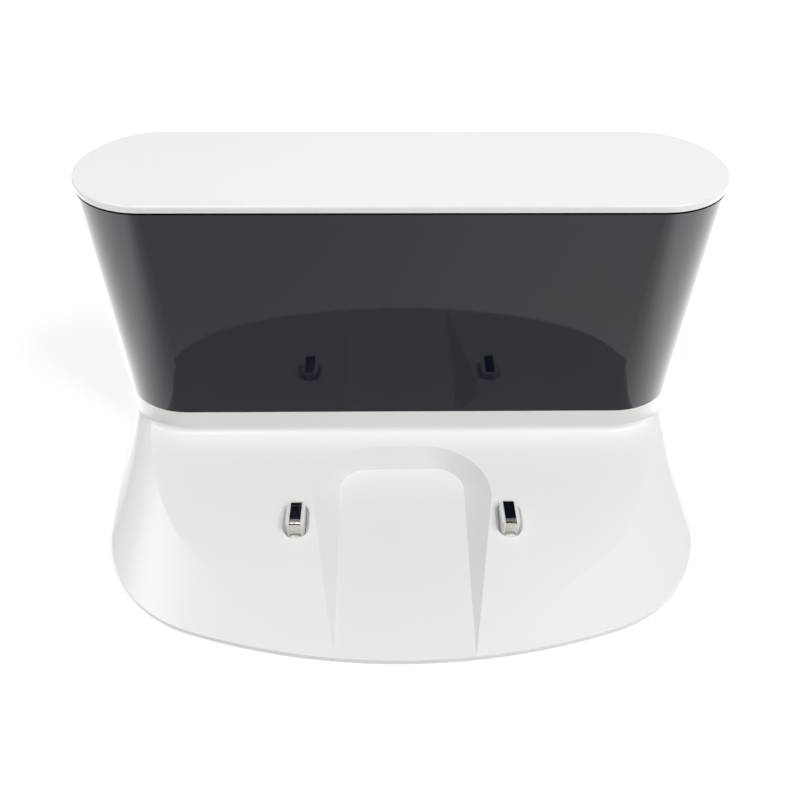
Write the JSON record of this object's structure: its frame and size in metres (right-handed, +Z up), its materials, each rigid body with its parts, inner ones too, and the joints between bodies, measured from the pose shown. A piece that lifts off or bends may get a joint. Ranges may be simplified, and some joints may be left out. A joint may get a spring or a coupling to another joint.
{
  "type": "robot vacuum charging dock",
  "caption": "Free-standing charging dock for a robot vacuum: ramped base with sprung contacts, castor channel, dark infrared window head and rear cord store.",
  "frame": {"origin": "on the floor under the middle of the dock's outline", "axes": "+X to the dock's right seen from the robot's side, across the dock; +Y towards the back of the dock; +Z up"},
  "size_m": [0.194, 0.13, 0.098],
  "materials": {
    "white_shell": "satin, slightly warm white",
    "white_underside": "fine textured",
    "smoked_window": "polished, dark blue grey, passes infrared",
    "white_carrier": "matt",
    "contact_metal": "bright nickel",
    "spring_steel": "drawn wire",
    "black_plastic": "matt",
    "grey_plastic": "matt",
    "brass": "bright",
    "board_green": "solder mask",
    "transformer_tape": "tape and dark ferrite",
    "capacitor_sleeve": "shrink sleeve",
    "emitter_lens": "dark clear epoxy",
    "lead_red": "insulation",
    "lead_black": "insulation",
    "lead_brown": "insulation",
    "lead_blue": "insulation",
    "screw_steel": "zinc plated",
    "foot_rubber": "soft grey pad"
  },
  "bodies": {
    "dock": {"top_cover": "white_shell", "signal_window": "smoked_window", "rear_shell": "white_shell", "base_shell": "white_shell", "base_plate": "white_underside", "power_board": "board_green", "transformer": "transformer_tape", "capacitors": "capacitor_sleeve", "emitter_board": "board_green", "emitters": "emitter_lens", "light_baffle": "black_plastic", "mains_inlet": "black_plastic", "inlet_pins": "brass", "mains_lead_live": "lead_brown", "mains_lead_neutral": "lead_blue", "plate_screws": "screw_steel", "head_screws": "screw_steel", "board_screws": "screw_steel", "emitter_screws": "screw_steel", "foot_front_left": "foot_rubber", "foot_front_right": "foot_rubber", "foot_rear_left": "foot_rubber", "foot_rear_right": "foot_rubber", "contact_guide_left": "grey_plastic", "contact_guide_right": "grey_plastic", "contact_terminal_left": "brass", "contact_terminal_right": "brass", "contact_lead_left": "lead_black", "contact_lead_right": "lead_red"},
    "contact_left": {"contact_strip_left": "contact_metal", "contact_carrier_left": "white_carrier", "contact_spring_left": "spring_steel"},
    "contact_right": {"contact_strip_right": "contact_metal", "contact_carrier_right": "white_carrier", "contact_spring_right": "spring_steel"}
  },
  "joints": [
    {"name": "contact_left_press", "type": "slide", "parent": "dock", "child": "contact_left", "axis": [0, 0, 1], "range_m": [-0.0015, 0], "stiffness_N_per_m": 350, "springref_m": 0.0015, "deforming": ["contact_spring_left"]},
    {"name": "contact_right_press", "type": "slide", "parent": "dock", "child": "contact_right", "axis": [0, 0, 1], "range_m": [-0.0015, 0], "stiffness_N_per_m": 350, "springref_m": 0.0015, "deforming": ["contact_spring_right"]}
  ]
}
